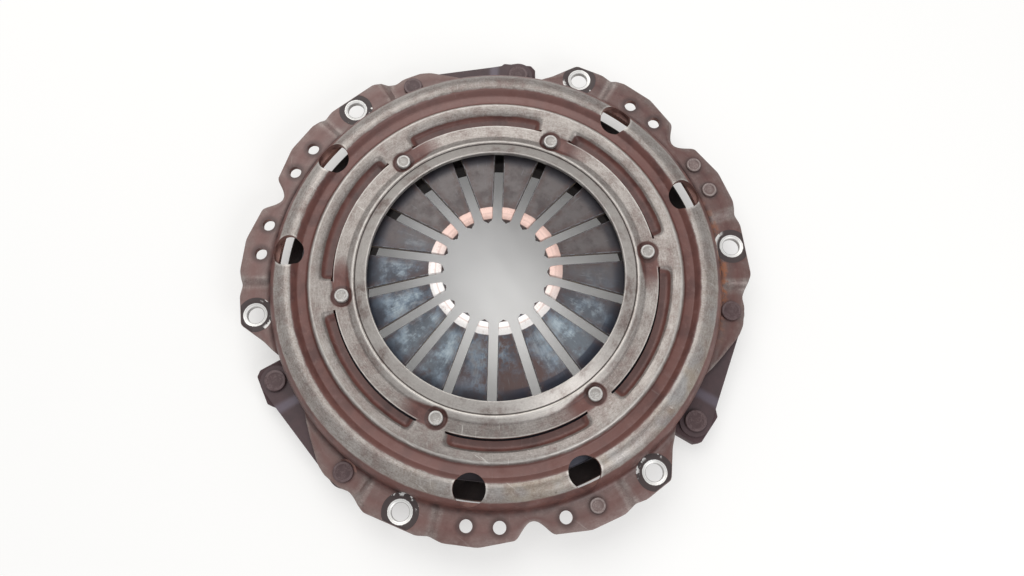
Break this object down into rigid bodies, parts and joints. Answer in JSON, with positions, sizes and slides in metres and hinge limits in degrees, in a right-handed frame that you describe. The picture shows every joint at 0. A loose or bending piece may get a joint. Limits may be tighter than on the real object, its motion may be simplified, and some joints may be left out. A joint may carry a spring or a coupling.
{
  "type": "clutch pressure plate",
  "caption": "Diaphragm-spring clutch pressure plate: pressed steel cover with a bolting flange, slotted conical spring and a cast friction ring hung on leaf straps.",
  "frame": {"origin": "centre of the bolt circle on the flange face that meets the flywheel", "axes": "+Z along the clutch axis, from the flywheel towards the release bearing; the first bolt hole lies 9 degrees from +X towards +Y"},
  "size_m": [0.249, 0.2488, 0.0379],
  "materials": {
    "cover_primer": "red-brown phosphate primer, worn to bare steel on the ridges",
    "plate_iron": "raw grey casting, friction face ground",
    "spring_steel": "blued spring steel with polished finger tips",
    "wire_steel": "drawn wire",
    "strap_steel": "dark oiled spring strip",
    "strap_rivet_steel": "dark phosphated rivet",
    "balance_rivet_steel": "dull rivet",
    "spring_rivet_steel": "bare bright rivet"
  },
  "bodies": {
    "cover_assembly": {"cover": "cover_primer", "diaphragm_spring": "spring_steel", "fulcrum_ring": "wire_steel", "spring_rivet_1": "spring_rivet_steel", "spring_rivet_2": "spring_rivet_steel", "spring_rivet_3": "spring_rivet_steel", "spring_rivet_4": "spring_rivet_steel", "spring_rivet_5": "spring_rivet_steel", "spring_rivet_6": "spring_rivet_steel", "strap_1_leaf_top": "strap_steel", "strap_1_leaf_middle": "strap_steel", "strap_1_leaf_bottom": "strap_steel", "strap_2_leaf_top": "strap_steel", "strap_2_leaf_middle": "strap_steel", "strap_2_leaf_bottom": "strap_steel", "strap_3_leaf_top": "strap_steel", "strap_3_leaf_middle": "strap_steel", "strap_3_leaf_bottom": "strap_steel", "strap_1_cover_rivet": "strap_rivet_steel", "strap_2_cover_rivet": "strap_rivet_steel", "strap_3_cover_rivet": "strap_rivet_steel", "balance_rivet_1": "balance_rivet_steel", "balance_rivet_2": "balance_rivet_steel", "balance_rivet_3": "balance_rivet_steel"},
    "plate_assembly": {"pressure_plate": "plate_iron", "strap_1_lug_rivet": "strap_rivet_steel", "strap_2_lug_rivet": "strap_rivet_steel", "strap_3_lug_rivet": "strap_rivet_steel"}
  },
  "joints": [
    {"name": "plate_lift", "type": "slide", "parent": "cover_assembly", "child": "plate_assembly", "axis": [0, 0, 1], "range_m": [0, 0.003], "stiffness_N_per_m": 50000, "springref_m": -0.001, "deforming": ["diaphragm_spring", "strap_1_leaf_top", "strap_1_leaf_middle", "strap_1_leaf_bottom", "strap_2_leaf_top", "strap_2_leaf_middle", "strap_2_leaf_bottom", "strap_3_leaf_top", "strap_3_leaf_middle", "strap_3_leaf_bottom"]}
  ]
}
